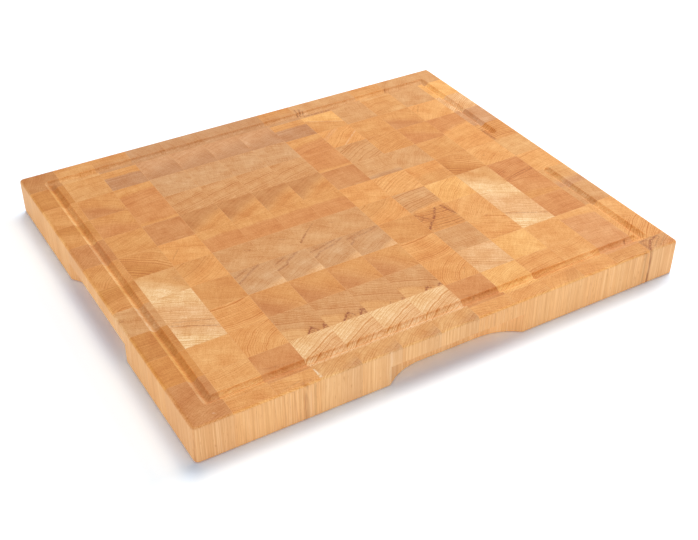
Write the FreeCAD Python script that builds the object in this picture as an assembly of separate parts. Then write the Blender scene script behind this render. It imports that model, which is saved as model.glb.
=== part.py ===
import FreeCAD, Part
import math
import os

# An end-grain chopping block: 13 strips of 12 beech blocks, glue films between them,
# a juice groove with a bare land on the right, and a finger grip under each edge.
# Millimetres, +Z up, origin on the underside at the middle of the board.
# Length runs along X, width along Y, the front is at -Y.

# Board
board_length = 500.0
board_width = 424.0
board_thickness = 37.5
corner_radius = 4.0
top_edge_radius = 3.0
bottom_edge_radius = 2.0

# Glue-up: strips are crosscut from panels of staves, stood on end and glued side by side
strip_width = 38.9
stave_width = 37.2
glue_thickness = 0.2
stave_shift = 8.4  # the stave joints lie this much nearer the front than the middle
least_end_width = 6.0  # no joint comes nearer to an edge of the board than this
# How far each strip slid back in the clamps, from left to right
strip_slips = [-1.2, -0.9, 0.0, 1.1, 1.2, 1.2, 1.2, -0.8, -0.7, -0.4, -0.2, 0.0, 1.2]

# Juice groove, cut by a V-shaped cutter with a blunt tip
groove_inset = 24.2  # from the edge of the board to the middle of the groove
groove_width = 9.6
groove_tip = 2.2
groove_depth = 3.4
land_length = 86.0  # bare stretch between the groove's ends on the right

# Finger grips, cut by an upright cutter head that runs along the edge
grip_length = 140.0
grip_depth = 14.0
grip_height = 21.0
grip_cutter_radius = 60.0
grip_lip_radius = 3.0

overrun = 10.0  # how far every cutting shape passes the surface that it cuts
same_place = 0.001  # coordinates closer than this count as equal

strip_pitch = strip_width + glue_thickness
stave_pitch = stave_width + glue_thickness
most_slip = max(abs(slip) for slip in strip_slips)

vector = FreeCAD.Vector
up = vector(0, 0, 1)


def span_box(x0, x1, y0, y1):
    """An upright box between two x and two y places that passes the top and underside of the board."""
    low = vector(x0, y0, -overrun)
    return Part.makeBox(x1 - x0, y1 - y0, board_thickness + 2 * overrun, low)


def edges_at(shape, height):
    """The edges of a shape that lie flat at one height."""
    return [
        edge
        for edge in shape.Edges
        if abs(edge.BoundBox.ZMin - height) < same_place and abs(edge.BoundBox.ZMax - height) < same_place
    ]


def upright_edges(shape, top):
    """The straight edges that rise from the underside to one height."""
    return [
        edge
        for edge in shape.Edges
        if abs(edge.BoundBox.ZMin) < same_place
        and abs(edge.BoundBox.ZMax - top) < same_place
        and edge.BoundBox.XLength < same_place
        and edge.BoundBox.YLength < same_place
    ]


def slab():
    """The glued board trimmed to size, with its upright corners rounded."""
    corner = vector(-board_length / 2, -board_width / 2, 0)
    block = Part.makeBox(board_length, board_width, board_thickness, corner)
    return block.makeFillet(corner_radius, upright_edges(block, board_thickness))


def grip_cutter(face_distance, turn):
    """The space swept by the cutter head along one edge, face_distance from the middle, turned about Z."""
    bite = grip_cutter_radius - grip_depth
    half_path = grip_length / 2 - math.sqrt(grip_cutter_radius**2 - bite**2)
    axis_y = -face_distance - bite
    far_y = axis_y - grip_cutter_radius
    near_y = axis_y + grip_cutter_radius
    corners = [vector(-half_path, near_y, 0), vector(half_path, near_y, 0)]
    corners += [vector(half_path, far_y, 0), vector(-half_path, far_y, 0)]
    right_bow = vector(half_path + grip_cutter_radius, axis_y, 0)
    left_bow = vector(-half_path - grip_cutter_radius, axis_y, 0)
    outline = [
        Part.LineSegment(corners[0], corners[1]).toShape(),
        Part.Arc(corners[1], right_bow, corners[2]).toShape(),
        Part.LineSegment(corners[2], corners[3]).toShape(),
        Part.Arc(corners[3], left_bow, corners[0]).toShape(),
    ]
    sweep = Part.Face(Part.Wire(outline)).extrude(vector(0, 0, grip_height + overrun))
    sweep.translate(vector(0, 0, -overrun))
    sweep.rotate(vector(0, 0, 0), up, turn)
    return sweep


def grip_cutters():
    """One cutter sweep for each edge: front, right, back and left."""
    distances = [board_width / 2, board_length / 2, board_width / 2, board_length / 2]
    quarter_turn = 90
    return [grip_cutter(distance, quarter_turn * side) for side, distance in enumerate(distances)]


def groove_cutter():
    """The V-shaped cutter's path: a wedge along each run, and a cone at every corner and at both ends."""
    rise = groove_depth + overrun
    foot = groove_tip / 2
    brim = foot + (groove_width - groove_tip) / 2 * rise / groove_depth
    bottom = board_thickness - groove_depth
    right = board_length / 2 - groove_inset
    back = board_width / 2 - groove_inset
    land_end = (land_length + groove_width) / 2
    path = [(right, land_end), (right, back), (-right, back)]
    path += [(-right, -back), (right, -back), (right, -land_end)]
    points = [vector(x, y, bottom) for x, y in path]
    cones = [Part.makeCone(foot, brim, rise, point) for point in points]
    wedges = []
    for start, end in zip(points, points[1:]):
        way = end - start
        side = up.cross(way).normalize()
        crest = start + up * rise
        corners = [start - side * foot, start + side * foot, crest + side * brim, crest - side * brim]
        section = Part.makePolygon(corners + corners[:1])
        wedges.append(Part.Face(section).extrude(way))
    return wedges + cones


def finished_board():
    """The slab with grips, eased edges and groove, before it is divided into its pieces."""
    board = slab()
    for cutter in grip_cutters():
        board = board.cut(cutter)
    board = board.makeFillet(grip_lip_radius, upright_edges(board, grip_height))
    board = board.makeFillet(bottom_edge_radius, edges_at(board, 0))
    board = board.makeFillet(top_edge_radius, edges_at(board, board_thickness))
    for cutter in groove_cutter():
        board = board.cut(cutter)
    return board


def joint_places(first, pitch, room):
    """The joints at one pitch, on both sides of the first, that lie within room of the board's middle."""
    before = math.floor((room + first) / pitch)
    after = math.floor((room - first) / pitch)
    return [first + step * pitch for step in range(-before, after + 1)]


def wood_and_glue(joints, edge):
    """The spans of wood between joints and of glue at them, out past both edges of the board."""
    starts = [-edge - overrun] + [joint + glue_thickness / 2 for joint in joints]
    ends = [joint - glue_thickness / 2 for joint in joints] + [edge + overrun]
    return list(zip(starts, ends)), list(zip(ends, starts[1:]))


def solids_of(shapes):
    """Every solid of a list of shapes."""
    return [solid for shape in shapes for solid in shape.Solids]


def write_node(name, shapes):
    """One file for a node, with its solids kept apart."""
    Part.makeCompound(solids_of(shapes)).exportStep("parts/" + name + ".step")


os.makedirs("parts", exist_ok=True)
board = finished_board()
side = board_width / 2 + overrun
strip_joints = joint_places(strip_pitch / 2, strip_pitch, board_length / 2 - least_end_width)
stave_joints = joint_places(-stave_shift, stave_pitch, board_width / 2 - least_end_width - most_slip)
strips, strip_films = wood_and_glue(strip_joints, board_length / 2)
for place, (x0, x1) in enumerate(strips):
    slip = strip_slips[place % len(strip_slips)]
    blocks, films = wood_and_glue([joint + slip for joint in stave_joints], board_width / 2)
    strip = board.common(span_box(x0, x1, -side, side))
    number = "%02d" % (place + 1)
    write_node("end_grain_strip_" + number, [strip.common(span_box(x0, x1, *block)) for block in blocks])
    write_node("block_glue_lines_" + number, [strip.common(span_box(x0, x1, *film)) for film in films])
for place, (x0, x1) in enumerate(strip_films):
    film = board.common(span_box(x0, x1, -side, side))
    write_node("strip_glue_line_%02d" % (place + 1), [film])
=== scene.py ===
import bmesh
import bpy
import numpy as np
from mathutils import Matrix, Vector


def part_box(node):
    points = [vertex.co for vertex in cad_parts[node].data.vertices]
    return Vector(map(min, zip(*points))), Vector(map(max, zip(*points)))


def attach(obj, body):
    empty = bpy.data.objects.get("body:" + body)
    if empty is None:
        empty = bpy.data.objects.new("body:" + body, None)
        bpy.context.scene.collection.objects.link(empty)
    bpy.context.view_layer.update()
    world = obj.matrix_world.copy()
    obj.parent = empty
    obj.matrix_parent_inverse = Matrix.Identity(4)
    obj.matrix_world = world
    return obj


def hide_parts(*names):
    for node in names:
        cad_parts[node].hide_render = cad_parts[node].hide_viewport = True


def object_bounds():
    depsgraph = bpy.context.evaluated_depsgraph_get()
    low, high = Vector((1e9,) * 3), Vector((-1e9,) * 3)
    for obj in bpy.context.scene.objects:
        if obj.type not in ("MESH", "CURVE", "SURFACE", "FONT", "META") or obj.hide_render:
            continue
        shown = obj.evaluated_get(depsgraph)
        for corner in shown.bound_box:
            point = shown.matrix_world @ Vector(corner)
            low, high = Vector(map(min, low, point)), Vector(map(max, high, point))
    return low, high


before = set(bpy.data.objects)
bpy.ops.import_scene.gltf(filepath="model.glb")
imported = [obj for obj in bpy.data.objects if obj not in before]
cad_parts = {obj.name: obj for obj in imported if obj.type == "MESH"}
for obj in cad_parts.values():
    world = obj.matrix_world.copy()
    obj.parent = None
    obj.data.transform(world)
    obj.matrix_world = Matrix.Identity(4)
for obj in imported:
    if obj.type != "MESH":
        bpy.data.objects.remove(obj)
cad_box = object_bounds()

# Strips four to seven
# Four strips crosscut from one panel of twelve beech staves and stood on end, so their top is all end grain.
# They are glued side by side with the others, and the board is then trimmed, grooved, gripped and oiled.
mm = 0.001
board_length, board_width, board_thickness = (cad_box[1] - cad_box[0]) / mm
right_edge = board_length / 2
back_edge = board_width / 2
corner_radius = 4.0
top_round = 3.0
bottom_round = 2.0

groove_width = 9.6
groove_depth = 3.4
groove_blunt = 2.4
groove_inset = 24.2
land_length = 86.0
groove_right = right_edge - groove_inset
groove_back = back_edge - groove_inset
groove_end = land_length / 2 + groove_width / 2
groove_fade = 0.75 * groove_width
groove_path = np.array(
    [
        (groove_right, groove_end),
        (groove_right, groove_back),
        (-groove_right, groove_back),
        (-groove_right, -groove_back),
        (groove_right, -groove_back),
        (groove_right, -groove_end),
    ]
)

grip_length = 140.0
grip_depth = 14.0
grip_height = 21.0
grip_cutter = 60.0
grip_lip = 3.0
grip_bite = grip_cutter - grip_depth
grip_run = grip_length / 2 - np.sqrt(grip_cutter**2 - grip_bite**2)
lip_end = grip_run + np.sqrt((grip_cutter + grip_lip) ** 2 - (grip_bite + grip_lip) ** 2)
lip_start = grip_run + (lip_end - grip_run) * grip_cutter / (grip_cutter + grip_lip)


def distance_in(x, y):
    """How far a place on the plan lies in from the board's outline: the corner's radius less the distance
    from its centre beside a corner, and the distance to the nearer edge elsewhere."""
    past_x = np.abs(x) - (right_edge - corner_radius)
    past_y = np.abs(y) - (back_edge - corner_radius)
    round_part = np.hypot(np.maximum(past_x, 0), np.maximum(past_y, 0))
    return corner_radius - round_part - np.minimum(np.maximum(past_x, past_y), 0)


def eased(inward, radius):
    """How far an edge eased to a quarter circle drops at a distance in from it."""
    short = np.clip(radius - inward, 0, radius)
    return radius - np.sqrt(radius**2 - short**2)


def groove_drop(x, y):
    """Depth of the juice groove: both flanks of a V rise evenly with the distance to the nearest run of its
    path, from a bottom that the cutter's tip leaves a little blunt."""
    nearest = np.full_like(x, np.inf)
    for (x0, y0), (x1, y1) in zip(groove_path, groove_path[1:]):
        run_x, run_y = x1 - x0, y1 - y0
        share = np.clip(((x - x0) * run_x + (y - y0) * run_y) / (run_x**2 + run_y**2), 0, 1)
        nearest = np.minimum(nearest, np.hypot(x - x0 - share * run_x, y - y0 - share * run_y))
    lip = np.hypot(groove_width / 2, groove_blunt)
    return groove_depth * np.maximum(lip - np.hypot(nearest, groove_blunt), 0) / (lip - groove_blunt)


def grip_reach(along):
    """How far a finger grip reaches in at a place along its edge: full depth on the cutter's run, the
    cutter's circle beyond it, a small circle where the lip is eased, and nothing further out."""
    away = np.abs(along)
    circle = np.sqrt(np.maximum(grip_cutter**2 - np.maximum(away - grip_run, 0) ** 2, 0)) - grip_bite
    lip = grip_lip - np.sqrt(np.maximum(grip_lip**2 - np.maximum(lip_end - away, 0) ** 2, 0))
    return np.where(away < lip_start, circle, np.where(away < lip_end, lip, 0))


def bent_round(x, y, corner, out_x, out_y, reach, fade):
    """A square grid bent round a corner: beyond it, lines at equal distance become arcs about it, fully up to
    reach and then less and less up to fade."""
    past_x = np.maximum((x - corner[0]) * out_x, 0)
    past_y = np.maximum((y - corner[1]) * out_y, 0)
    square = np.maximum(past_x, past_y)
    both = np.minimum(past_x, past_y) > 0
    ratio = np.where(both, square / np.where(both, np.hypot(past_x, past_y), 1), 1)
    pull = (ratio - 1) * np.clip((fade - square) / (fade - reach), 0, 1)
    return x + out_x * past_x * pull, y + out_y * past_y * pull


def bent_plan(x, y):
    """A block's plan grid bent round the board's corners, the groove's corners and the groove's ends."""
    for out_x in (-1, 1):
        for out_y in (-1, 1):
            middle = (out_x * (right_edge - corner_radius), out_y * (back_edge - corner_radius))
            x, y = bent_round(x, y, middle, out_x, out_y, corner_radius, 2 * corner_radius)
            turn = (out_x * groove_right, out_y * groove_back)
            x, y = bent_round(x, y, turn, out_x, out_y, groove_width / 2, groove_fade)
            end = (groove_right, -out_y * groove_end)
            x, y = bent_round(x, y, end, out_x, out_y, groove_width / 2, groove_fade)
    return x, y


wall_lines = np.array([0, 0.1, 0.3, 0.5, 0.7, 0.9, 1])
bend_start, bend_end = 0.1, 0.9


def gripped(sheet, axis):
    """The underside drawn up into a finger grip: the outer lines lie on its roof, the next ones on its wall
    and on the wall's eased lower edge, each set in from the board's edge by the grip's reach there. The eased
    edge turns from upright to level between two of the lines that make the wall."""
    edge = np.sign(sheet[..., axis]) * (right_edge, back_edge)[axis]
    inward = np.abs(edge - sheet[..., axis])
    reach = grip_reach(sheet[..., 1 - axis])
    share = (inward - grip_depth) / bottom_round
    turn = np.clip((share - bend_start) / (bend_end - bend_start), 0, 1) * np.pi / 2
    on_roof = inward <= grip_depth
    on_wall = share < 1
    wall = np.minimum(reach + bottom_round * (1 - np.cos(turn)), inward)
    drawn = np.where(on_roof, np.minimum(inward, reach), np.where(on_wall, wall, inward))
    sheet[..., axis] = edge - np.sign(edge) * drawn
    sheet[..., 2] = np.where(on_roof, grip_height, np.where(on_wall, bottom_round * (1 - np.sin(turn)), 0))
    return sheet


same_line = 0.05


def grid_lines(start, end, wanted):
    """A block's grid lines along one axis: both its ends, and the wanted places between them."""
    between = np.unique(np.round(wanted, 1))
    between = between[(between > start + same_line) & (between < end - same_line)]
    return np.concatenate([[start], between, [end]])


quarter = np.linspace(0, np.pi / 2, 7)
across_edge = np.append(top_round * (1 - np.cos(quarter)), corner_radius)
across_grip = grip_depth + bottom_round * wall_lines
half_groove = np.array([0.3, 0.7, 1.2, 2.4, 3.6, groove_width / 2, groove_fade])
across_groove = np.concatenate([-half_groove, [0], half_groove])
along_grip = np.concatenate([np.linspace(0, lip_start, 32), np.linspace(lip_start, lip_end, 6)])
along_grip = np.concatenate([-along_grip, along_grip])
mark_grid = 0.6


def across_lines(edge, groove):
    """The wanted lines along one axis, the same on both sides of the middle: those of the board's edge, of a
    grip behind it and of the groove."""
    lines = np.concatenate([edge - across_edge, edge - across_grip, groove + across_groove])
    return np.concatenate([lines, -lines])


def block_skin(x0, x1, y0, y1, close_grid):
    """The closed skin of one block, as points and faces: a top sheet eased at the board's edges and sunk in
    the groove, an underside sheet drawn up into the grips, and a band that joins the borders of the two."""
    at_side = x0 < -right_edge + same_line or x1 > right_edge - same_line
    at_end = y0 < -back_edge + same_line or y1 > back_edge - same_line
    wanted_x = across_lines(right_edge, groove_right)
    wanted_y = across_lines(back_edge, groove_back)
    if at_end:
        wanted_x = np.append(wanted_x, along_grip)
    if at_side:
        ends = groove_end + across_groove
        wanted_y = np.concatenate([wanted_y, along_grip, ends, -ends])
    if close_grid:
        wanted_x = np.append(wanted_x, np.arange(x0, x1, mark_grid))
        wanted_y = np.append(wanted_y, np.arange(y0, y1, mark_grid))
    x, y = np.meshgrid(grid_lines(x0, x1, wanted_x), grid_lines(y0, y1, wanted_y), indexing="ij")
    along = y if at_side else x
    x, y = bent_plan(x, y)
    inward = distance_in(x, y)
    top = np.stack([x, y, board_thickness - eased(inward, top_round) - groove_drop(x, y)], -1)
    under = np.stack([x, y, eased(inward, bottom_round)], -1)
    if at_side != at_end and grip_reach(along).max() > 0:
        under = gripped(under, 0 if at_side else 1)

    place = np.arange(x.size).reshape(x.shape)
    quads = np.stack([place[:-1, :-1], place[1:, :-1], place[1:, 1:], place[:-1, 1:]], -1).reshape(-1, 4)
    border = np.concatenate([place[:-1, 0], place[-1, :-1], place[:0:-1, -1], place[0, :0:-1]])
    onward = np.roll(border, -1)
    band = np.stack([border + x.size, onward + x.size, onward, border], -1)
    points = np.concatenate([top.reshape(-1, 3), under.reshape(-1, 3)])
    return points, np.concatenate([quads, quads[:, ::-1] + x.size, band])


def paint(red, green, blue):
    """A colour given as it looks on a screen, in 255ths, as the light it sends back."""
    shares = np.array([red, green, blue]) / 255
    return np.where(shares < 0.04045, shares / 12.92, ((shares + 0.055) / 1.055) ** 2.4)


sheen = 0.04  # light that the oil's gloss adds to every tone
least_light = 0.02
tones = {
    "ivory": paint(254, 212, 158),
    "cream": paint(250, 205, 150),
    "straw": paint(241, 188, 134),
    "gold": paint(246, 184, 114),
    "honey": paint(238, 173, 108),
    "maple": paint(235, 167, 102),
    "amber": paint(226, 160, 98),
    "wheat": paint(231, 172, 112),
    "tan": paint(222, 164, 110),
    "peach": paint(226, 160, 106),
    "sand": paint(219, 166, 117),
    "rose": paint(217, 160, 114),
    "fawn": paint(209, 154, 108),
    "copper": paint(220, 151, 95),
    "russet": paint(214, 148, 95),
    "ochre": paint(222, 152, 88),
    "tawny": paint(214, 146, 85),
    "umber": paint(205, 142, 90),
    "dun": paint(203, 147, 104),
}
tones = {name: np.maximum(tone - sheen, least_light) for name, tone in tones.items()}


def stave(tone, heart=None, tilt=0, bow=150, pitch=5.0, line=0.2, turn=0.0, soft=5.0):
    """One stave of a panel: its tone, its tone on the side of the tree's heart and where one turns to the
    other, the tilt of its rings (rising to the right), how far off the heart lies (towards the front), and
    the rings' pitch and strength. Lengths in millimetres, tilt in degrees."""
    colours = dict(tone=tones[tone], heart=tones[heart or tone], turn=turn, soft=soft)
    return dict(colours, tilt=np.radians(tilt), bow=bow, pitch=pitch, line=line)


def stroke_shade(points, corner, strokes):
    """How dark knots, bark and cracks make each point: for each stroke, its darkness times a soft step down
    over its half-width, away from its line. Strokes run right and forward from the block's back left corner,
    and a stroke below zero is pale: mostly chips, and on one grip's lip a painted highlight."""
    right = points[:, 0] - corner[0]
    forward = corner[1] - points[:, 1]
    shade = np.zeros(len(points))
    for r0, f0, r1, f1, half0, half1, dark in strokes:
        run_r, run_f = r1 - r0, f1 - f0
        share = np.clip(((right - r0) * run_r + (forward - f0) * run_f) / (run_r**2 + run_f**2), 0, 1)
        away = np.hypot(right - r0 - share * run_r, forward - f0 - share * run_f)
        left = np.clip(1 - away / (half0 + share * (half1 - half0)), 0, 1)
        stroke = dark * left**2 * (3 - 2 * left)
        shade = np.where(np.abs(stroke) > np.abs(shade), stroke, shade)
    return shade


def add_node(tree, kind, sockets=None, **settings):
    """A shader node with its settings, its sockets filled with values or joined to other sockets."""
    node = tree.nodes.new(kind)
    for name, value in settings.items():
        setattr(node, name, value)
    for socket, value in (sockets or {}).items():
        if isinstance(value, bpy.types.NodeSocket):
            tree.links.new(value, node.inputs[socket])
        else:
            node.inputs[socket].default_value = value
    return node


def oiled_beech():
    """Solid beech: rings are circles about the heart of each stave, so they show as arcs on end grain and as
    upright stripes on the sides. Each ring darkens slowly and ends in a thin line, rays cross the rings, and
    wood cut along the grain soaks up less oil and stays paler. Sloped cuts are paler too, partly with a
    painted whitish sheen. In the groove, the walls that face right and back get a painted pale sheen, and
    those that face left and front get painted shade, darker near the lip and lighter towards the foot."""
    plain = (1, 1, 1, 1)
    late_tint = (0.72, 0.44, 0.16, 1)
    warmth = (0.50, 1.12, 2.05)
    slope_paler_with_painted_sheen = (1.13, 1.28, 1.50, 1)
    painted_sheen_tint = (1.0, 1.17, 1.50, 1)
    foot_facing_left, foot_facing_front = (1.04, 1.03, 1.03, 1), (1.12, 1.17, 1.20, 1)
    lip_facing_left, lip_facing_front = (1.06, 0.95, 0.87, 1), (1.00, 0.85, 0.73, 1)
    long_grain = (*paint(245, 196, 142), 1)
    dark_fibre = (*paint(221, 158, 98), 1)
    pale_fibre = (*paint(250, 210, 160), 1)
    ray_fleck = (*paint(196, 118, 58), 1)
    bark = (*paint(142, 62, 16), 1)
    pale_chip_and_painted_highlight = (*paint(255, 228, 190), 1)
    material = bpy.data.materials.new("oiled_beech")
    material.use_nodes = True
    tree = material.node_tree
    tree.nodes.clear()

    def value(operation, *inputs):
        """One operation on numbers."""
        return add_node(tree, "ShaderNodeMath", dict(enumerate(inputs)), operation=operation).outputs[0]

    def vector(operation, *inputs):
        """One operation on vectors."""
        return add_node(tree, "ShaderNodeVectorMath", dict(enumerate(inputs)), operation=operation).outputs[0]

    def stored(name, output):
        """What the mesh stores under a name at each point."""
        return add_node(tree, "ShaderNodeAttribute", attribute_name=name).outputs[output]

    def parts(socket):
        """The three parts of a vector."""
        return add_node(tree, "ShaderNodeSeparateXYZ", {0: socket}).outputs

    def joined(first, second, third):
        """A vector of three parts."""
        return add_node(tree, "ShaderNodeCombineXYZ", {0: first, 1: second, 2: third}).outputs[0]

    def step(socket, low, high):
        """A soft step from nothing at low to one at high."""
        sockets = {"Value": socket, "From Min": low, "From Max": high}
        return add_node(tree, "ShaderNodeMapRange", sockets, interpolation_type="SMOOTHSTEP").outputs[0]

    def noise(place, detail):
        """Cloudy noise at a place, as a number and as a colour."""
        sockets = {"Vector": place, "Scale": 1.0, "Detail": detail}
        return add_node(tree, "ShaderNodeTexNoise", sockets).outputs

    def noise_along(place):
        """Cloudy noise along one line."""
        sockets = {"W": place, "Scale": 1.0, "Detail": 1.0}
        return add_node(tree, "ShaderNodeTexNoise", sockets, noise_dimensions="1D").outputs[0]

    def mixed(share, first, second, blend="MIX"):
        """Two colours blended by a share of the second."""
        sockets = {"Factor": share, 6: first, 7: second}
        return add_node(tree, "ShaderNodeMix", sockets, data_type="RGBA", blend_type=blend).outputs[2]

    def tinted(colour, share, tint):
        """A colour multiplied by a share of a tint."""
        return mixed(1.0, colour, mixed(share, plain, tint), "MULTIPLY")

    place = add_node(tree, "ShaderNodeTexCoord").outputs["Object"]
    place = vector("MULTIPLY", place, (1 / mm, 1 / mm, 1 / mm))
    along_x, along_y, height = parts(place)
    heart = stored("heart", "Vector")
    bow = parts(heart)[2]
    pitch, line, seed = parts(stored("rings", "Vector"))
    turn, soft, slice_place = parts(stored("turn", "Vector"))
    own = vector("SUBTRACT", place, vector("MULTIPLY", heart, (1, 1, 0)))
    far = value("MULTIPLY", seed, 71.0)
    lookup = vector("ADD", own, joined(far, far, slice_place))

    def grain_noise(across, along, detail):
        """Noise at its own scale across the grain and along it, different in every stave."""
        return noise(vector("MULTIPLY", lookup, (across, across, along)), detail)

    sway = vector("SUBTRACT", grain_noise(0.05, 0.006, 2.0)[1], (0.5, 0.5, 0.5))
    flat = vector("MULTIPLY", vector("ADD", own, vector("MULTIPLY", sway, (6, 6, 0))), (1, 1, 0))
    from_heart = add_node(tree, "ShaderNodeVectorMath", {0: flat}, operation="LENGTH").outputs["Value"]
    ring_place = value("SUBTRACT", from_heart, bow)
    around = value("MULTIPLY", value("ARCTAN2", parts(flat)[1], parts(flat)[0]), bow)

    def streaks(across, along, detail):
        """Noise drawn out along one way of the rings, with its scale across them and along them."""
        return noise(joined(across, along, value("MULTIPLY_ADD", height, 0.012, far)), detail)[0]

    uneven_place = value("DIVIDE", ring_place, value("MULTIPLY", pitch, 2.7))
    uneven = noise_along(value("MULTIPLY_ADD", seed, 7.3, uneven_place))
    count = value("MULTIPLY_ADD", uneven, 1.6, value("DIVIDE", ring_place, pitch))
    rise = add_node(tree, "ShaderNodeValToRGB", {0: value("FRACT", count)})
    stops = rise.color_ramp.elements
    stops[0].position, stops[0].color = 0.45, (0, 0, 0, 1)
    stops[1].position, stops[1].color = 0.88, (1, 1, 1, 1)
    stops.new(0.74).color = (0.22, 0.22, 0.22, 1)
    stops.new(0.95).color = (1, 1, 1, 1)
    stops.new(1.0).color = (0, 0, 0, 1)
    ring_number = {"W": value("ADD", value("FLOOR", count), far)}
    luck = add_node(tree, "ShaderNodeTexWhiteNoise", ring_number, noise_dimensions="1D").outputs[0]
    group = noise_along(value("MULTIPLY_ADD", ring_place, 0.11, value("MULTIPLY", seed, 5.7)))
    ring = value("MULTIPLY", rise.outputs[0], value("MULTIPLY_ADD", luck, 0.55, 0.45))
    ring = value("MULTIPLY", ring, value("MULTIPLY_ADD", step(group, 0.36, 0.62), 0.9, 0.6))
    ring = value("MINIMUM", value("MULTIPLY", ring, line), 1.0)

    turned = step(ring_place, value("SUBTRACT", turn, soft), value("ADD", turn, soft))
    base = mixed(turned, stored("heart_tone", "Color"), stored("tone", "Color"))
    colour = mixed(ring, base, mixed(1.0, base, late_tint, "MULTIPLY"))

    bands = noise_along(value("MULTIPLY_ADD", ring_place, 0.09, value("MULTIPLY", seed, 3.1)))
    clouds = grain_noise(0.055, 0.012, 1.0)[0]
    fine = streaks(value("MULTIPLY", ring_place, 1.1), value("MULTIPLY", around, 0.10), 2.0)
    rays = streaks(value("MULTIPLY", around, 0.9), value("MULTIPLY", ring_place, 0.09), 1.0)
    pores = grain_noise(1.2, 0.1, 1.0)[0]
    light = -0.18
    for pattern, weight in ((bands, 0.22), (clouds, 0.52), (fine, 0.50), (rays, 0.32), (pores, 0.80)):
        light = value("MULTIPLY_ADD", pattern, weight, light)
    colour = mixed(1.0, colour, joined(*(value("POWER", light, power) for power in warmth)), "MULTIPLY")

    facing_x, facing_y, facing_up = parts(add_node(tree, "ShaderNodeNewGeometry").outputs["Normal"])
    level = value("ABSOLUTE", facing_up)
    on_side = step(level, 0.65, 0.25)
    sloped = step(level, 0.97, 0.75)
    # Sloped cuts are paler, partly the wood's own colour and partly a painted whitish sheen.
    colour = tinted(colour, sloped, slope_paler_with_painted_sheen)

    in_x = value("SUBTRACT", right_edge, value("ABSOLUTE", along_x))
    in_y = value("SUBTRACT", back_edge, value("ABSOLUTE", along_y))
    wall = value("MULTIPLY", sloped, step(value("MINIMUM", in_x, in_y), 6.0, 12.0))
    slant = value("ADD", facing_x, facing_y)
    # Painted sheen: groove walls that face right and back, towards the lamps, are made paler and whiter.
    painted_sheen = value("MULTIPLY", wall, step(slant, 0.25, 0.60))
    colour = tinted(colour, painted_sheen, painted_sheen_tint)
    # Painted shade: groove walls that face left and front, away from the lamps, are darker and warmer near
    # the lip and lighter towards the foot.
    painted_shade = value("MULTIPLY", wall, step(slant, -0.25, -0.60))
    to_front = step(facing_y, -0.25, -0.60)
    foot_tint = mixed(to_front, foot_facing_left, foot_facing_front)
    lip_tint = mixed(to_front, lip_facing_left, lip_facing_front)
    near_lip = step(height, board_thickness - 0.85 * groove_depth, board_thickness - 0.25 * groove_depth)
    colour = tinted(colour, painted_shade, mixed(near_lip, foot_tint, lip_tint))

    fibres = grain_noise(1.15, 0.012, 2.0)[0]
    flecks = step(grain_noise(0.9, 0.16, 0.0)[0], 0.76, 0.84)
    side = mixed(0.57, colour, long_grain)
    side = mixed(value("MULTIPLY", step(fibres, 0.46, 0.66), 0.55), side, dark_fibre)
    side = mixed(value("MULTIPLY", step(fibres, 0.46, 0.32), 0.45), side, pale_fibre)
    side = mixed(value("MULTIPLY", flecks, 0.35), side, ray_fleck)
    colour = mixed(on_side, colour, side)

    broken = step(grain_noise(0.5, 0.05, 2.0)[0], 0.28, 0.6)
    mark = value("MULTIPLY", stored("mark", "Fac"), broken)
    colour = mixed(value("MAXIMUM", mark, 0.0), colour, bark)
    # Strokes below zero turn pale: chips, and one painted highlight on a grip's lip.
    colour = mixed(value("MAXIMUM", value("MULTIPLY", mark, -1.0), 0.0), colour, pale_chip_and_painted_highlight)

    relief = value("SUBTRACT", value("MULTIPLY", pores, 0.7), ring)
    bump = add_node(tree, "ShaderNodeBump", {"Height": relief, "Strength": 0.16, "Distance": 0.2 * mm})
    gloss = value("MULTIPLY_ADD", pores, 0.22, 0.40)
    finish = {"Roughness": gloss, "Specular IOR Level": 0.25, "Normal": bump.outputs[0]}
    skin = add_node(tree, "ShaderNodeBsdfPrincipled", {"Base Color": colour, **finish})
    add_node(tree, "ShaderNodeOutputMaterial", {"Surface": skin.outputs[0]})
    return material


def strip_name(number):
    """The name of a strip's CAD node, counted from the left."""
    return "end_grain_strip_%02d" % number


beech = oiled_beech()
stave_width = 37.2
slice_step = 40.0  # how far apart along its panel each strip was cut
sharp_edge = np.radians(35)
same_point = 0.002 * mm
film_left, film_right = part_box("strip_glue_line_01")
glue_thickness = (film_right.x - film_left.x) / mm
stored_grain = {
    "heart": ("FLOAT_VECTOR", "vector", 3),
    "rings": ("FLOAT_VECTOR", "vector", 3),
    "turn": ("FLOAT_VECTOR", "vector", 3),
    "tone": ("FLOAT_COLOR", "color", 4),
    "heart_tone": ("FLOAT_COLOR", "color", 4),
    "mark": ("FLOAT", "value", 1),
}


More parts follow.
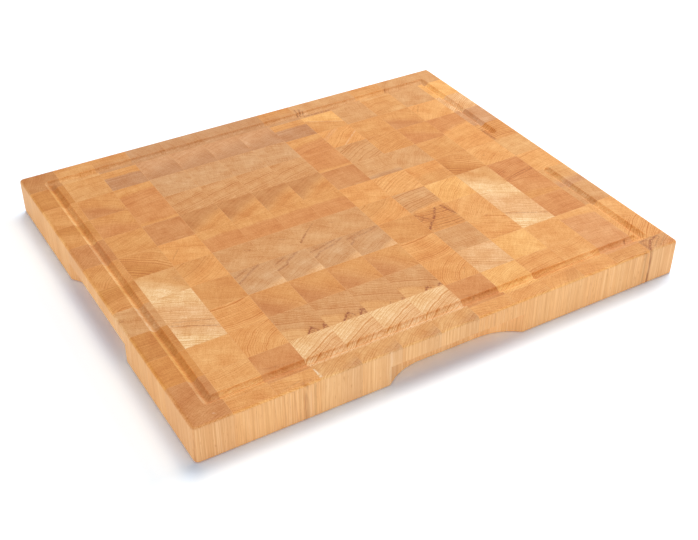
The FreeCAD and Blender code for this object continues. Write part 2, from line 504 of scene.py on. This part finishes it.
def glued_strip(number, panel, marks=None):
    """A strip of twelve blocks as one piece, made from a panel's staves from back to front, with the strokes
    that mark some of them by row."""
    low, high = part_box(strip_name(number))
    x0, x1 = low.x / mm, high.x / mm
    film_low, film_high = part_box("block_glue_lines_%02d" % number)
    films = np.linspace(film_low.y / mm, film_high.y / mm - glue_thickness, len(panel) - 1)[::-1]
    fronts = np.append(films + glue_thickness, -back_edge)
    backs = np.append(back_edge, films)
    points, faces, data = [], [], []
    total = 0
    for row, (wood, y0, y1) in enumerate(zip(panel, fronts, backs), 1):
        strokes = (marks or {}).get(row, [])
        skin, skin_faces = block_skin(x0, x1, y0, y1, bool(strokes))
        middle = np.array([(x0 + x1) / 2, y1 - stave_width / 2])
        heart = middle - wood["bow"] * np.array([-np.sin(wood["tilt"]), np.cos(wood["tilt"])])
        grain = [*heart, abs(wood["bow"]), wood["pitch"], wood["line"], wood["seed"]]
        grain += [wood["turn"], wood["soft"], slice_step * number]
        grain += [*wood["tone"], 1, *wood["heart"], 1]
        shade = stroke_shade(skin, (x0, y1), strokes)
        data.append(np.column_stack([np.tile(grain, (len(skin), 1)), shade]))
        points.append(skin)
        faces.append(skin_faces + total)
        total += len(skin)
    data = np.concatenate(data)
    mesh = bpy.data.meshes.new("beech_strip_%02d" % number)
    mesh.from_pydata(np.concatenate(points) * mm, [], np.concatenate(faces))
    column = 0
    for name, (kind, field, width) in stored_grain.items():
        layer = mesh.attributes.new(name, kind, "POINT")
        numbers = np.ascontiguousarray(data[:, column : column + width], np.float32)
        layer.data.foreach_set(field, numbers.ravel())
        column += width
    body = bmesh.new()
    body.from_mesh(mesh)
    bmesh.ops.remove_doubles(body, verts=body.verts, dist=same_point)
    body.to_mesh(mesh)
    body.free()
    mesh.shade_smooth()
    mesh.set_sharp_from_angle(angle=sharp_edge)
    mesh.materials.append(beech)
    piece = bpy.data.objects.new(mesh.name, mesh)
    bpy.context.scene.collection.objects.link(piece)
    level = piece.modifiers.new("flat faces stay flat", "WEIGHTED_NORMAL")
    level.keep_sharp = True
    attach(piece, "root")
    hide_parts(strip_name(number))


def panel_of(first_seed, *staves):
    """A panel's staves from back to front, each with its own number for the chance in its grain."""
    return [dict(wood, seed=first_seed + place) for place, wood in enumerate(staves)]


first_panel = panel_of(
    1,
    stave("fawn", tilt=12, pitch=2.8, line=0.2),
    stave("rose", "dun", tilt=20, bow=120, pitch=3.9, line=0.2, soft=10),
    stave("sand", tilt=-18, bow=110, pitch=1.9, line=0.7),
    stave("tan", tilt=13, bow=200, pitch=1.9, line=0.9),
    stave("umber", "amber", tilt=33, bow=160, pitch=4.4, line=0.2, turn=-2, soft=8),
    stave("amber", "copper", tilt=0, bow=160, pitch=5, line=0.15, turn=6, soft=2.5),
    stave("tan", tilt=-38, bow=150, pitch=1.7, line=0.5),
    stave("sand", "straw", tilt=24, bow=130, pitch=1.2, line=0.6, turn=-17, soft=4),
    stave("amber", "russet", tilt=-48, bow=130, pitch=2.6, line=0.4, turn=-4, soft=15),
    stave("tan", "wheat", tilt=-24, bow=160, pitch=2.4, line=0.9, turn=-10, soft=3),
    stave("cream", "straw", tilt=30, bow=110, pitch=2.4, line=1.0, turn=4, soft=14),
    stave("wheat", "fawn", tilt=36, bow=100, pitch=2.6, line=0.6, turn=-2, soft=8),
)
glued_strip(
    4,
    first_panel,
    {
        5: [(35, 8, 37, 6, 2.0, 1.2, 0.5)],
        7: [(27.4, 11.5, 31.9, 14.1, 1.0, 1.2, 0.5)],
        8: [
            (0.4, 18.2, 7.2, 14.1, 2.2, 2.0, 0.5),
            (7.2, 14.1, 19, 6, 2.0, 2.8, 0.42),
            (19, 6, 27, 1.4, 2.8, 3.2, 0.42),
            (1, 8.6, 14.5, 2.8, 1.6, 2.0, 0.42),
        ],
        10: [
            (19, 37.2, 25, 30, 1.8, 2.4, 0.95),
            (25, 30, 29, 37.2, 2.4, 1.8, 0.95),
            (24, 37.2, 25, 33, 6.0, 2.5, 0.6),
            (34.6, 37.2, 37, 31.4, 1.8, 2.4, 0.95),
            (37, 31.4, 38.9, 33, 2.4, 2.4, 0.85),
            (37.5, 37.2, 37.5, 33, 4.0, 2.4, 0.65),
        ],
        12: [(0.6, 4, 1.2, 14, 1.2, 2.2, -0.9)],
    },
)
glued_strip(
    5,
    first_panel,
    {
        7: [(25, 11.6, 29, 14.6, 1.0, 1.2, 0.45)],
        8: [
            (1, 18.2, 12.4, 14.1, 2.2, 2.0, 0.5),
            (12.4, 14.1, 14.7, 9.6, 2.0, 2.0, 0.5),
            (14.7, 9.6, 22, 5, 2.2, 2.8, 0.42),
            (22, 5, 28, 1.4, 2.8, 3.2, 0.42),
            (2.5, 8.8, 15.1, 2.8, 1.6, 2.0, 0.42),
        ],
        10: [
            (14.8, 37.2, 21, 31, 1.8, 2.6, 0.95),
            (21, 31, 23.6, 28.4, 2.4, 1.8, 0.95),
            (23.6, 28.4, 27.8, 36.5, 1.8, 1.8, 0.85),
            (21, 37.2, 22, 33, 7.0, 4.0, 0.55),
            (31.6, 36.8, 35.3, 30.5, 2.0, 2.6, 0.95),
            (35.3, 30.5, 38.9, 31.5, 2.6, 2.6, 0.85),
            (36, 37.2, 36.5, 33, 5.0, 3.5, 0.65),
        ],
        # Not a chip: a painted highlight on the eased lip at the left end of the front grip.
        12: [(27.8, 17.6, 28.4, 18, 2.4, 2.4, -0.4)],
    },
)
glued_strip(
    6,
    first_panel,
    {
        7: [(0.3, 27.4, 14, 14, 2.0, 1.5, 0.6), (14, 14, 26, 4, 1.5, 0.9, 0.4)],
        8: [
            (1, 18, 6, 14, 2.8, 2.2, 0.42),
            (6, 14, 9, 11.5, 2.2, 1.9, 0.42),
            (9, 11.5, 26, 7.5, 2.0, 2.2, 0.42),
            (26, 7.5, 37.8, 1.5, 2.4, 2.4, 0.38),
            (1, 8, 11.5, 6.2, 1.9, 1.8, 0.42),
            (11.5, 6.2, 30, 1.4, 2.0, 2.6, 0.42),
        ],
        10: [
            (22.2, 36.8, 24.4, 34.8, 1.2, 1.7, 0.5),
            (24.4, 34.8, 26.5, 36.8, 1.5, 1.2, 0.45),
            (34.5, 37, 36.2, 35.2, 1.2, 1.7, 0.5),
            (36.2, 35.2, 37.8, 36.8, 1.5, 1.2, 0.45),
        ],
    },
)
glued_strip(
    7,
    first_panel,
    {
        7: [(1.5, 10.5, 5.5, 12.5, 1.1, 0.9, 0.35)],
        8: [
            (0.5, 16.5, 6, 12.5, 2.3, 2.1, 0.5),
            (6, 12.5, 7, 7, 2.1, 1.9, 0.5),
            (1, 7, 16, 3.4, 2.0, 1.9, 0.42),
            (16, 3.4, 22, 1, 1.9, 1.9, 0.35),
            (9, 8.5, 27, 5, 1.9, 2.1, 0.38),
            (27, 5, 38, 0.5, 2.2, 2.8, 0.42),
        ],
        10: [
            (21.2, 36.4, 24.2, 32.8, 1.8, 2.4, 0.95),
            (24.2, 32.8, 27.2, 35, 2.4, 1.8, 0.95),
            (35, 35.8, 37.2, 34, 1.8, 2.2, 0.85),
            (37.2, 34, 38.9, 35.8, 2.2, 1.8, 0.85),
        ],
    },
)

# Strips three and eight
# Two strips crosscut from a second panel, of warmer russet and honey staves.
# They stand on either side of the first four, on end and glued to them.
second_panel = panel_of(
    21,
    stave("amber", "fawn", tilt=3, bow=170, pitch=3.3, line=0.2, soft=20),
    stave("amber", "dun", tilt=1, bow=140, pitch=2.8, line=0.4, turn=7, soft=1.8),
    stave("amber", "copper", tilt=10, bow=150, pitch=5.5, line=0.3, turn=5, soft=3),
    stave("copper", "amber", tilt=0, bow=200, pitch=5, line=0.15, turn=-14, soft=2),
    stave("russet", tilt=2, bow=200, pitch=5.5, line=0.15),
    stave("maple", tilt=-25, bow=150, pitch=3.3, line=0.25),
    stave("maple", "amber", tilt=32, bow=-70, pitch=3.0, line=0.5, turn=-2, soft=6),
    stave("amber", tilt=-25, bow=130, pitch=2.2, line=0.6),
    stave("maple", "honey", tilt=6, bow=-90, pitch=2.6, line=0.9, turn=-10, soft=5),
    stave("maple", "honey", tilt=45, bow=45, pitch=1.9, line=0.8, turn=-6, soft=9),
    stave("copper", tilt=-30, bow=120, pitch=2.8, line=0.2),
    stave("honey", tilt=-18, bow=110, pitch=2.0, line=0.8),
)
glued_strip(
    3,
    second_panel,
    {
        6: [(4, 27, 15, 14, 0.9, 0.7, 0.35)],
        11: [(5, 20, 32, 24, 3, 3, 0.15), (14.5, 21, 14.8, 20, 1.4, 1, 0.45)],
        12: [
            (8, 12, 22, 9.5, 1.2, 1.2, 0.3),
            (22, 9.5, 31, 12.5, 1.2, 1.4, 0.3),
            (24, 14, 25.5, 17, 4.2, 5.0, 0.36),
            (31, 12.5, 33.5, 17, 1.6, 1.6, 0.3),
            (19, 15, 19.5, 17, 1.0, 1.0, 0.3),
            (29.2, 15, 29.4, 17, 1.3, 1.3, -0.3),
        ],
    },
)
glued_strip(
    8,
    second_panel,
    {
        10: [(31, 24, 31.5, 23, 1.4, 1, 0.45), (24, 33, 31, 24, 0.6, 0.6, 0.25)],
        11: [(2, 22, 30, 26, 3, 3, 0.15), (13, 26, 13.2, 25, 1.6, 1, 0.45)],
    },
)

# Strips two and eleven
# Two strips crosscut from a third panel, which has three pale satin sapwood staves in its front half.
# One stands near each end of the board, on end and glued to its neighbours.
third_panel = panel_of(
    41,
    stave("amber", "wheat", tilt=0, bow=160, pitch=3.3, line=0.2, soft=25),
    stave("amber", "wheat", tilt=5, bow=160, pitch=2.8, line=0.35, soft=25),
    stave("amber", "russet", tilt=-28, bow=110, pitch=2.2, line=0.5, turn=-4, soft=7),
    stave("amber", "copper", tilt=-28, bow=140, pitch=1.7, line=0.7, turn=0, soft=8),
    stave("amber", tilt=15, bow=-100, pitch=3.3, line=0.25),
    stave("amber", "tawny", tilt=-38, bow=140, pitch=3.4, line=0.9, turn=-4, soft=8),
    stave("wheat", "cream", tilt=-42, bow=90, pitch=2.2, line=0.35, turn=-5, soft=10),
    stave("cream", "straw", tilt=-26, bow=150, pitch=2.6, line=0.8, turn=2, soft=9),
    stave("straw", "ivory", tilt=-28, bow=150, pitch=3.0, line=0.8, turn=-5, soft=9),
    stave("honey", tilt=-24, bow=150, pitch=1.8, line=0.4),
    stave("honey", tilt=6, bow=-120, pitch=2.0, line=0.6),
    stave("maple", tilt=-20, bow=100, pitch=1.8, line=0.6),
)
glued_strip(
    2,
    third_panel,
    {
        7: [(34, 16, 35, 18, 7, 7, 0.16)],
        9: [(2, 4, 38, 23, 1.2, 1.2, 0.55), (4, 0, 38, 13, 1.0, 1.0, 0.4)],
    },
)
glued_strip(
    11,
    third_panel,
    {
        1: [(35.5, 28, 39, 22.5, 0.8, 0.8, 0.5)],
        9: [(2, 8, 38, 27, 1.3, 1.1, 0.55)],
    },
)

# Strip one
# The strip at the left edge, from a panel of its own with tawny staves.
# Its outer side has the left finger grip, and the groove runs along it.
glued_strip(
    1,
    panel_of(
        61,
        stave("umber", tilt=60, bow=90, pitch=2.8, line=0.2),
        stave("tawny", tilt=3, bow=150, pitch=2.8, line=0.26),
        stave("amber", tilt=-20, bow=120, pitch=2.8, line=0.26),
        stave("tawny", "amber", tilt=-25, bow=110, pitch=2.8, line=0.39),
        stave("russet", tilt=40, bow=120, pitch=1.9, line=0.45),
        stave("amber", tilt=42, bow=120, pitch=2.2, line=0.52),
        stave("tawny", "amber", tilt=8, bow=110, pitch=2.6, line=0.5, turn=0, soft=5),
        stave("tan", tilt=-25, bow=120, pitch=1.7, line=0.52),
        stave("tawny", tilt=4, bow=-80, pitch=1.9, line=0.59),
        stave("ochre", tilt=0, bow=160, pitch=3.3, line=0.2),
        stave("russet", tilt=20, bow=130, pitch=1.7, line=0.39),
        stave("russet", tilt=30, bow=60, pitch=2.2, line=0.45),
    ),
    {
        8: [(2, 13, 4, 14, 3, 2.5, 0.3)],
        12: [(21.5, 6.5, 23.5, 7.5, 1.0, 1.0, -0.6), (0.4, 14, 0.8, 16, 2.0, 1.8, 0.45)],
    },
)

# Strip nine
# A strip from a fifth panel, with a heart check across one block and a bark scar beside the back groove.
# It stands on end between strips eight and ten, glued to both.
glued_strip(
    9,
    panel_of(
        81,
        stave("tan", tilt=10, bow=140, pitch=2.8, line=0.25),
        stave("gold", "amber", tilt=-27, bow=150, pitch=3.9, line=0.25, turn=2, soft=2),
        stave("maple", tilt=42, bow=140, pitch=2.4, line=0.4),
        stave("tan", tilt=27, bow=150, pitch=4.5, line=0.7),
        stave("tan", "fawn", tilt=0, bow=180, pitch=4.0, line=0.25, turn=-12, soft=3),
        stave("honey", tilt=28, bow=130, pitch=3.6, line=0.6),
        stave("tan", "honey", tilt=7, bow=110, pitch=3.3, line=0.9, turn=-13, soft=3),
        stave("amber", tilt=-6, bow=-60, pitch=2.8, line=1.0),
        stave("tan", tilt=-3, bow=140, pitch=1.6, line=0.9),
        stave("straw", tilt=-30, bow=150, pitch=2.8, line=1.0),
        stave("gold", tilt=22, bow=130, pitch=1.8, line=0.5),
        stave("maple", "amber", tilt=30, bow=70, pitch=2.0, line=0.6),
    ),
    {
        1: [
            (3.5, 13, 2, 24, 1.9, 2.0, 0.75),
            (8, 14, 5, 25, 2.4, 2.2, 0.75),
            (10.5, 18, 9, 23, 1.6, 1.6, 0.55),
            (2, 25, 12, 28, 2.6, 2.4, 0.4),
            (7, 31, 38, 31.5, 3.2, 2.6, 0.6),
        ],
        2: [(0.5, 7.6, 38.9, 27, 1.0, 1.0, -0.35)],
        3: [(13.9, 37, 38.9, 15.2, 1.3, 1.3, -0.36), (1.2, 16.5, 21.9, 0.6, 4.5, 4.5, -0.15)],
        8: [
            (0, 31, 8, 22, 2.4, 2.4, 0.95),
            (8, 22, 16, 15, 2.6, 2.4, 0.95),
            (16, 15, 26, 0.5, 2.4, 2.4, 0.95),
            (33, 1, 37.5, 18, 2.6, 3.2, 0.8),
            (1, 3, 9, 15, 2.2, 2.0, 0.6),
            (1, 15, 7, 11, 2.0, 2.0, 0.5),
            (2, 10, 9, 18, 7, 7, 0.26),
            (34, 2, 37, 14, 5, 4, 0.3),
            (14, 5, 38.9, 5.5, 1.3, 1.3, 0.34),
            (0, 8, 18, 9, 1.3, 1.3, 0.4),
            (22, 10, 38.9, 11, 1.3, 1.4, 0.42),
            (12, 20, 38.9, 20.5, 1.2, 1.2, 0.34),
            (8, 24.5, 38.9, 25.5, 1.3, 1.2, 0.34),
            (5, 29, 38.9, 30, 1.3, 1.2, 0.34),
            (2, 33.5, 38.9, 34, 1.3, 1.2, 0.3),
        ],
    },
)

# Strip ten
# A strip from a sixth panel of bright honey staves with fine close rings.
# It stands on end between strips nine and eleven, glued to both.
glued_strip(
    10,
    panel_of(
        101,
        stave("tan", tilt=8, bow=150, pitch=2.8, line=0.2),
        stave("tan", tilt=-10, bow=150, pitch=3.9, line=0.15),
        stave("amber", tilt=-12, bow=150, pitch=3.9, line=0.2),
        stave("amber", tilt=16, bow=80, pitch=2.6, line=0.7),
        stave("tan", tilt=48, bow=150, pitch=2.2, line=0.3),
        stave("maple", "amber", tilt=8, bow=150, pitch=3.3, line=0.4),
        stave("gold", tilt=42, bow=160, pitch=1.5, line=0.7),
        stave("honey", tilt=42, bow=160, pitch=1.5, line=0.7),
        stave("honey", "maple", tilt=-32, bow=140, pitch=2.8, line=0.6),
        stave("gold", tilt=-38, bow=150, pitch=2.2, line=0.25),
        stave("maple", tilt=6, bow=140, pitch=2.8, line=0.6),
        stave("maple", "amber", tilt=70, bow=120, pitch=2.8, line=0.3),
    ),
)

# Strip twelve
# A strip from a seventh panel, with russet staves in its front half.
# It stands on end between strips eleven and thirteen, glued to both.
glued_strip(
    12,
    panel_of(
        121,
        stave("tan", tilt=55, bow=140, pitch=1.7, line=0.4),
        stave("tan", tilt=-30, bow=140, pitch=3.3, line=0.2),
        stave("honey", tilt=45, bow=150, pitch=2.2, line=0.2),
        stave("copper", "maple", tilt=14, bow=150, pitch=3.9, line=0.2, turn=-8, soft=3),
        stave("maple", tilt=12, bow=140, pitch=2.2, line=0.3),
        stave("honey", tilt=30, bow=120, pitch=2.8, line=0.35),
        stave("copper", tilt=13, bow=110, pitch=2.2, line=0.9),
        stave("copper", "amber", tilt=-10, bow=120, pitch=3.9, line=0.3, turn=-8, soft=4),
        stave("copper", tilt=6, bow=140, pitch=1.5, line=0.5),
        stave("honey", "peach", tilt=-8, bow=150, pitch=3.3, line=0.25, turn=9, soft=2.5),
        stave("peach", tilt=-10, bow=140, pitch=3.3, line=0.2),
        stave("amber", tilt=-3, bow=110, pitch=2.0, line=0.6),
    ),
    {
        1: [(0, 22, 2, 19.5, 1.2, 1.0, 0.6)],
        3: [(4, 15, 12.5, 3, 0.9, 0.9, 0.4)],
        6: [
            (10, 19, 11, 18.6, 1.2, 1.2, 0.45),
            (18.6, 25.4, 19.6, 25, 1.2, 1.2, 0.4),
            (29.4, 21, 30.2, 20.7, 1.1, 1.1, 0.4),
        ],
        7: [
            (7.5, 19, 8, 21, 2.0, 1.6, 0.5),
            (0, 32, 38.9, 24, 0.9, 0.9, 0.5),
            (0, 35, 38.9, 27.5, 0.9, 0.9, 0.5),
        ],
        11: [(28.5, 30.5, 31.5, 26, 1.9, 1.5, 0.75)],
        12: [(34, 15.5, 34.6, 18, 3.2, 3.6, 0.32)],
    },
)

# Strip thirteen
# The strip at the right edge, with the right finger grip and the bare land where the groove breaks off.
# Its front block is heartwood, dark along a few rings down to the front face.
glued_strip(
    13,
    panel_of(
        141,
        stave("tan", tilt=-20, bow=140, pitch=3.3, line=0.2),
        stave("gold", tilt=-45, bow=140, pitch=2.6, line=0.2),
        stave("straw", tilt=38, bow=120, pitch=2.2, line=1.0),
        stave("rose", tilt=0, bow=150, pitch=3.3, line=0.25),
        stave("amber", tilt=3, bow=140, pitch=3.2, line=1.0),
        stave("wheat", tilt=12, bow=150, pitch=3.3, line=0.2),
        stave("honey", tilt=10, bow=150, pitch=3.3, line=0.25),
        stave("wheat", "rose", tilt=0, bow=150, pitch=3.3, line=0.25, turn=-6, soft=6),
        stave("tan", tilt=-10, bow=140, pitch=3.3, line=0.25),
        stave("honey", tilt=-30, bow=130, pitch=3.3, line=0.4),
        stave("honey", tilt=40, bow=120, pitch=2.3, line=1.0),
        stave("tan", "copper", tilt=40, bow=60, pitch=2.2, line=0.7),
    ),
    {
        5: [(2, 13, 2.5, 35, 3.2, 2.8, 0.5)],
        12: [
            (2, 15, 12, 4.5, 2.4, 2.8, 0.85),
            (12, 4.5, 23, 0.5, 2.6, 2.0, 0.8),
            (2, 2, 10, 1, 3.5, 3, 0.5),
            (1, 3, 2, 15, 3, 3, 0.5),
            (9, 14, 24, 3, 1.4, 1.4, 0.5),
            (15, 15, 30, 5, 1.2, 1.2, 0.4),
            (2, 15, 1.4, 18, 2.8, 3.0, 0.75),
        ],
    },
)

# Glue lines
# Thin films of cured wood glue between the blocks of a strip and between the strips, sanded flush.
# Clear amber glue that takes up little oil, so the joints show as faint, slightly paler lines.
glue = bpy.data.materials.new("wood_glue")
glue.use_nodes = True
shader = glue.node_tree.nodes["Principled BSDF"]
shader.inputs["Roughness"].default_value = 0.5
clear_glue = (*paint(238, 176, 106), 1)
oily_glue = (*paint(218, 154, 90), 1)
place = add_node(glue.node_tree, "ShaderNodeTexCoord").outputs["Object"]
thin = add_node(glue.node_tree, "ShaderNodeTexNoise", {"Vector": place, "Scale": 130.0, "Detail": 2.0})
sockets = {"Factor": thin.outputs[0], 6: clear_glue, 7: oily_glue}
soaked = add_node(glue.node_tree, "ShaderNodeMix", sockets, data_type="RGBA")
glue.node_tree.links.new(soaked.outputs[2], shader.inputs["Base Color"])
for name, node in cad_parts.items():
    if "glue" in name:
        node.data.materials.clear()
        node.data.materials.append(glue)

# Floor
# A plain studio floor of white paper, a little cool where it is seen close to the board, so that warm light
# off the wood leaves the soft shadow near grey. It runs out past the edges of the photograph's view.
reach, drop = 8.0, 0.1 * mm
paper_white = (0.85, 0.85, 0.85, 1)
seen_close, seen_clear = (1.11, 1.38, 1.74, 1), (1.19, 1.25, 1.29, 1)
close_end, clear_start = -4 * mm, 22 * mm
floor_mesh = bpy.data.meshes.new("studio_floor")
corners = [(-reach, -reach, -drop), (reach, -reach, -drop), (reach, reach, -drop), (-reach, reach, -drop)]
floor_mesh.from_pydata(corners, [], [(0, 1, 2, 3)])
floor = bpy.data.objects.new("studio_floor", floor_mesh)
bpy.context.scene.collection.objects.link(floor)
paper = bpy.data.materials.new("studio_paper")
paper.use_nodes = True
tree = paper.node_tree
tree.nodes.clear()
place = add_node(tree, "ShaderNodeTexCoord").outputs["Object"]
outside = add_node(tree, "ShaderNodeVectorMath", {0: place}, operation="ABSOLUTE").outputs[0]
sockets = {0: outside, 1: (right_edge * mm, back_edge * mm, drop)}
outside = add_node(tree, "ShaderNodeVectorMath", sockets, operation="SUBTRACT").outputs[0]
outside = add_node(tree, "ShaderNodeSeparateXYZ", {0: outside}).outputs
away = add_node(tree, "ShaderNodeMath", {0: outside[0], 1: outside[1]}, operation="MAXIMUM").outputs[0]
sockets = {"Value": away, "From Min": close_end, "From Max": clear_start}
clear = add_node(tree, "ShaderNodeMapRange", sockets, interpolation_type="SMOOTHSTEP").outputs[0]
sockets = {"Factor": clear, 6: seen_close, 7: seen_clear}
cool = add_node(tree, "ShaderNodeMix", sockets, data_type="RGBA").outputs[2]
seen = add_node(tree, "ShaderNodeLightPath").outputs["Is Camera Ray"]
sockets = {"Factor": seen, 6: paper_white, 7: cool}
white = add_node(tree, "ShaderNodeMix", sockets, data_type="RGBA").outputs[2]
grain = add_node(tree, "ShaderNodeTexNoise", {"Vector": place, "Scale": 900.0})
tooth = add_node(tree, "ShaderNodeMath", {0: grain.outputs[0], 1: 0.02, 2: 0.99}, operation="MULTIPLY_ADD")
sockets = {"Factor": 1.0, 6: white, 7: tooth.outputs[0]}
shade = add_node(tree, "ShaderNodeMix", sockets, data_type="RGBA", blend_type="MULTIPLY").outputs[2]
matt = add_node(tree, "ShaderNodeBsdfDiffuse", {"Color": shade})
add_node(tree, "ShaderNodeOutputMaterial", {"Surface": matt.outputs[0]})
floor_mesh.materials.append(paper)

# Light
# A large soft box over the right back corner, a small one on the right, and low cards in front and left.
# The even surround is plain white to the camera and in the sheen of the oil.
world = bpy.data.worlds.new("studio")
bpy.context.scene.world = world
world.use_nodes = True
tree = world.node_tree
tree.nodes.clear()
seen = add_node(tree, "ShaderNodeLightPath").outputs
sockets = {0: seen["Is Camera Ray"], 1: seen["Is Glossy Ray"]}
mirrored = add_node(tree, "ShaderNodeMath", sockets, operation="MAXIMUM")
around = add_node(tree, "ShaderNodeBackground", {"Color": (1, 1, 1, 1), "Strength": 0.30})
white = add_node(tree, "ShaderNodeBackground", {"Color": (1, 1, 1, 1), "Strength": 1.0})
sockets = {0: mirrored.outputs[0], 1: around.outputs[0], 2: white.outputs[0]}
either = add_node(tree, "ShaderNodeMixShader", sockets)
add_node(tree, "ShaderNodeOutputWorld", {"Surface": either.outputs[0]})


def soft_box(name, place, width, height, power):
    """A soft box of one width and height at a place, turned so that it shines on the middle of the board."""
    lamp = bpy.data.lights.new(name, "AREA")
    lamp.shape = "RECTANGLE"
    lamp.size = width
    lamp.size_y = height
    lamp.energy = power
    box = bpy.data.objects.new(name, lamp)
    aim = Vector(place).to_track_quat("Z", "Y").to_matrix().to_4x4()
    box.matrix_world = Matrix.Translation(place) @ aim
    bpy.context.scene.collection.objects.link(box)


soft_box("top_soft_box", (1.20, 1.50, 4.23), 2.25, 2.25, 119.0)
soft_box("right_soft_box", (1.70, 0.22, 1.40), 0.85, 0.85, 15.9)
soft_box("front_card", (0.2, -1.6, 0.08), 2.4, 0.14, 10.5)
soft_box("left_card", (-1.6, -0.1, 0.08), 2.4, 0.14, 12.0)

# Camera
# Over the front left corner, at the photograph's height and distance.
# The lens follows from how wide the photograph is in pixels and how strongly its lines run together.
azimuth, elevation, roll = np.radians([-30.867, 35.889, 0.144])
target = np.array([-14.8, -50.4, 0.0]) * mm
distance = 1096.3 * mm
film_width, picture_width, focal_pixels = 36.0, 698, 1138.3
level = np.cos(elevation)
back = np.array([np.sin(azimuth) * level, -np.cos(azimuth) * level, np.sin(elevation)])
right = np.array([np.cos(azimuth), np.sin(azimuth), 0.0])
upward = np.cross(back, right)
rolled_right = np.cos(roll) * right + np.sin(roll) * upward
rolled_up = np.cos(roll) * upward - np.sin(roll) * right
columns = np.stack([rolled_right, rolled_up, back], 1)
lens = bpy.data.cameras.new("camera")
lens.sensor_width = film_width
lens.lens = film_width * focal_pixels / picture_width
camera = bpy.data.objects.new("camera", lens)
camera.matrix_world = Matrix.Translation(target + distance * back) @ Matrix(columns.tolist()).to_4x4()
bpy.context.scene.collection.objects.link(camera)
bpy.context.scene.camera = camera
bpy.context.scene.view_settings.view_transform = "Standard"
